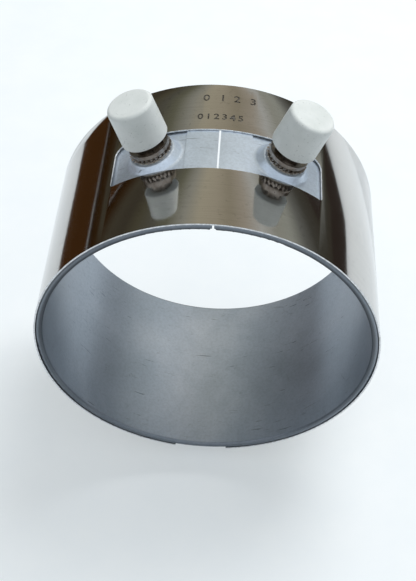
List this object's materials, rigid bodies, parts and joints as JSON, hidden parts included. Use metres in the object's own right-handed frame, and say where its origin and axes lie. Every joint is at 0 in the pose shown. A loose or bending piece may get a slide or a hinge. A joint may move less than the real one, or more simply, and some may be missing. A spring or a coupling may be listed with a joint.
{
  "type": "band heater",
  "caption": "Mica band heater: folded sheet ring with an embossed terminal window, ceramic-capped studs on top and a screw-clamped polished strap",
  "frame": {"origin": "centre of the bore, halfway along the band", "axes": "+Y along the bore, away from the rim that has the wider margin of strap; +Z from the bore's centre up between the two terminals; the screw clamp is at -Z and the part rests on its loops"},
  "size_m": [0.1358, 0.08, 0.165],
  "materials": {
    "galvanised_sheet": "matte galvanised",
    "polished_strap": "mirror polished stainless",
    "mica": "mica sheet",
    "ribbon": "nickel-chrome ribbon",
    "ceramic": "semi-matte white ceramic",
    "nickel": "nickel plated",
    "brass": "dull nickelled brass",
    "clamp_steel": "stainless strip",
    "zinc_steel": "zinc plated"
  },
  "bodies": {
    "band": {"inner_sheath": "galvanised_sheet", "inner_mica": "mica", "heating_core": "mica", "resistance_ribbon": "ribbon", "outer_mica": "mica", "back_plate": "galvanised_sheet", "clamp_strap": "polished_strap", "terminal_stud_left": "brass", "stud_bush_left": "ceramic", "mica_washer_left": "mica", "tooth_washer_left": "nickel", "cup_washer_left": "nickel", "terminal_nut_left": "brass", "terminal_stud_right": "brass", "stud_bush_right": "ceramic", "mica_washer_right": "mica", "tooth_washer_right": "nickel", "cup_washer_right": "nickel", "terminal_nut_right": "brass", "clamp_loop_left_front": "clamp_steel", "clamp_loop_right_front": "clamp_steel", "plain_barrel_front": "zinc_steel", "tapped_barrel_front": "zinc_steel", "clamp_loop_left_back": "clamp_steel", "clamp_loop_right_back": "clamp_steel", "plain_barrel_back": "zinc_steel", "tapped_barrel_back": "zinc_steel"},
    "cap_feed_left": {"cap_insert_left": "brass"},
    "cap_left": {"ceramic_cap_left": "ceramic"},
    "cap_feed_right": {"cap_insert_right": "brass"},
    "cap_right": {"ceramic_cap_right": "ceramic"},
    "screw_feed_front": {"screw_washer_front": "zinc_steel"},
    "screw_front": {"clamp_screw_front": "zinc_steel"},
    "screw_feed_back": {"screw_washer_back": "zinc_steel"},
    "screw_back": {"clamp_screw_back": "zinc_steel"}
  },
  "joints": [
    {"name": "cap_lift_left", "type": "slide", "parent": "band", "child": "cap_feed_left", "axis": [-0.3616, 0, 0.9323], "range_m": [0, 0.008]},
    {"name": "cap_turn_left", "type": "hinge", "parent": "cap_feed_left", "child": "cap_left", "pos_m": [-0.03059, 0.00075, 0.07886], "axis": [-0.3616, 0, 0.9323], "range_deg": [0, 2880]},
    {"name": "cap_lift_right", "type": "slide", "parent": "band", "child": "cap_feed_right", "axis": [0.3616, 0, 0.9323], "range_m": [0, 0.008]},
    {"name": "cap_turn_right", "type": "hinge", "parent": "cap_feed_right", "child": "cap_right", "pos_m": [0.03059, 0.00075, 0.07886], "axis": [0.3616, 0, 0.9323], "range_deg": [0, 2880]},
    {"name": "screw_feed_front", "type": "slide", "parent": "band", "child": "screw_feed_front", "axis": [-1, 0, 0], "range_m": [0, 0.0064]},
    {"name": "screw_turn_front", "type": "hinge", "parent": "screw_feed_front", "child": "screw_front", "pos_m": [0, -0.0205, -0.07109], "axis": [-1, 0, 0], "range_deg": [0, 2880]},
    {"name": "screw_feed_back", "type": "slide", "parent": "band", "child": "screw_feed_back", "axis": [-1, 0, 0], "range_m": [0, 0.0064]},
    {"name": "screw_turn_back", "type": "hinge", "parent": "screw_feed_back", "child": "screw_back", "pos_m": [0, 0.0205, -0.07109], "axis": [-1, 0, 0], "range_deg": [0, 2880]}
  ],
  "couplings": [
    {"joint": "cap_turn_left", "follows": "cap_lift_left", "rad_per_m": 6283.2},
    {"joint": "cap_turn_right", "follows": "cap_lift_right", "rad_per_m": 6283.2},
    {"joint": "screw_turn_front", "follows": "screw_feed_front", "rad_per_m": 7854},
    {"joint": "screw_turn_back", "follows": "screw_feed_back", "rad_per_m": 7854}
  ]
}
